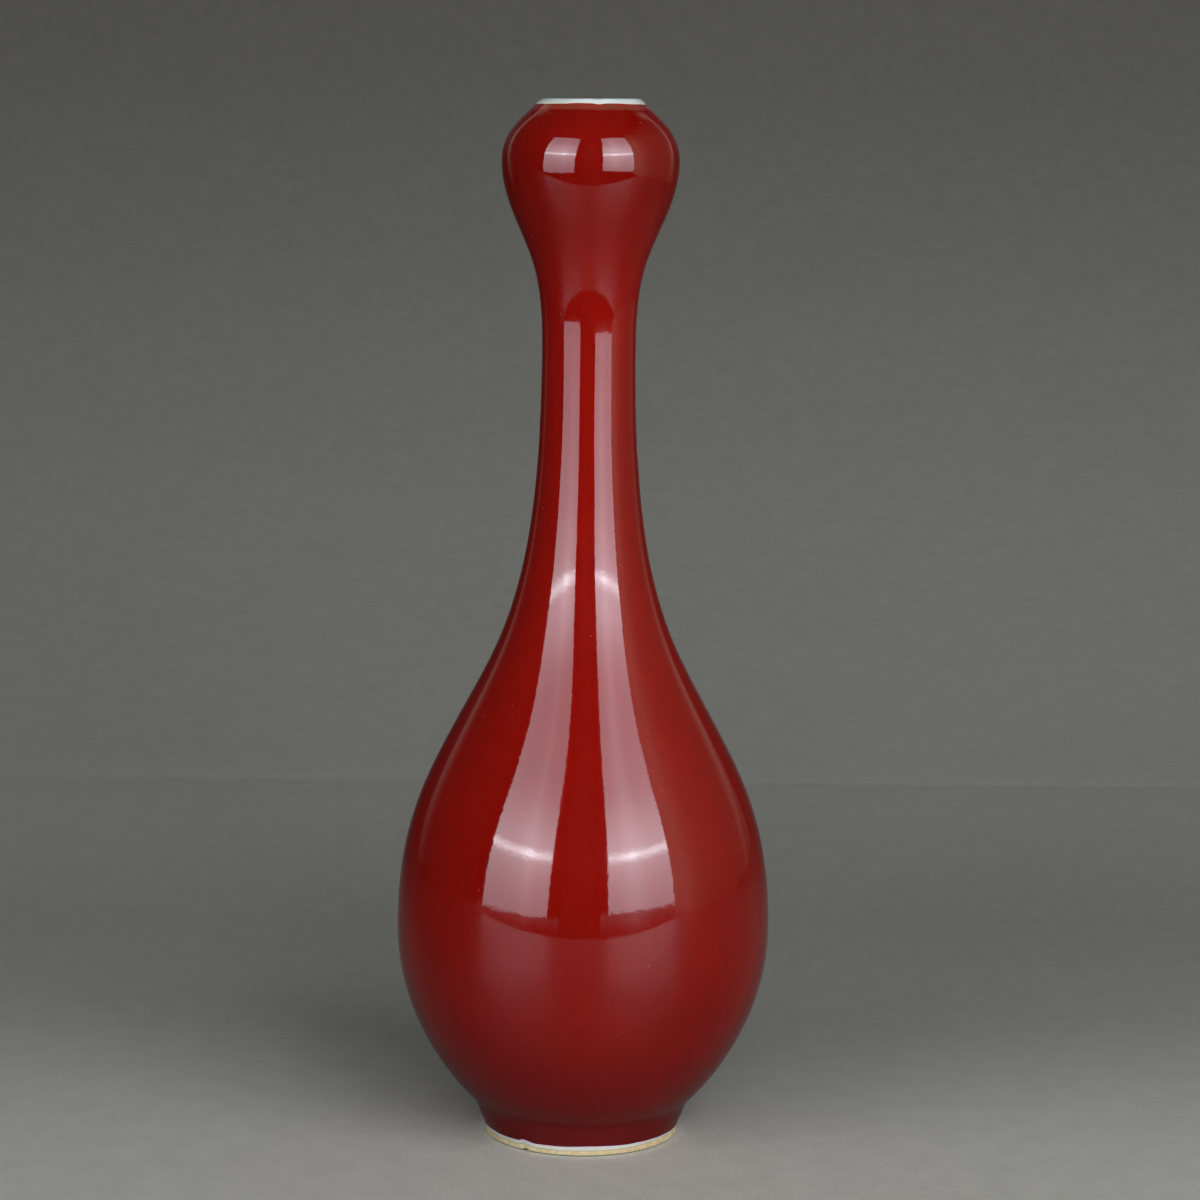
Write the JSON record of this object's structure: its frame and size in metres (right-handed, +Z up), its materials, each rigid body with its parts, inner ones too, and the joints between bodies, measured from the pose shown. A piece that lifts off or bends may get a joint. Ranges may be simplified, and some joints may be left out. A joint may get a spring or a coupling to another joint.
{
  "type": "garlic-head vase",
  "caption": "Tall glazed porcelain bottle vase with a full round body on a small foot ring, a long slender neck and a mouth swollen like a garlic head.",
  "frame": {"origin": "centre of the foot ring, on the surface that the vase stands on", "axes": "+Z up along the axis of the vase, towards the mouth"},
  "size_m": [0.1154, 0.1154, 0.3203],
  "materials": {
    "biscuit": "bare fired porcelain, matt and slightly toasted",
    "slip": "fired slip, matt, buried between the thrown sections",
    "red_glaze": "deep copper-red glaze, glossy, mottled",
    "white_glaze": "clear glaze over white porcelain, glossy"
  },
  "bodies": {
    "root": {"lower_body": "biscuit", "belly_slip_joint": "slip", "upper_body": "biscuit", "neck_slip_joint": "slip", "neck": "biscuit", "head_slip_joint": "slip", "garlic_head": "biscuit", "red_glaze": "red_glaze", "white_foot_line": "white_glaze", "clear_inner_glaze": "white_glaze", "base_glaze": "white_glaze"}
  },
  "joints": []
}
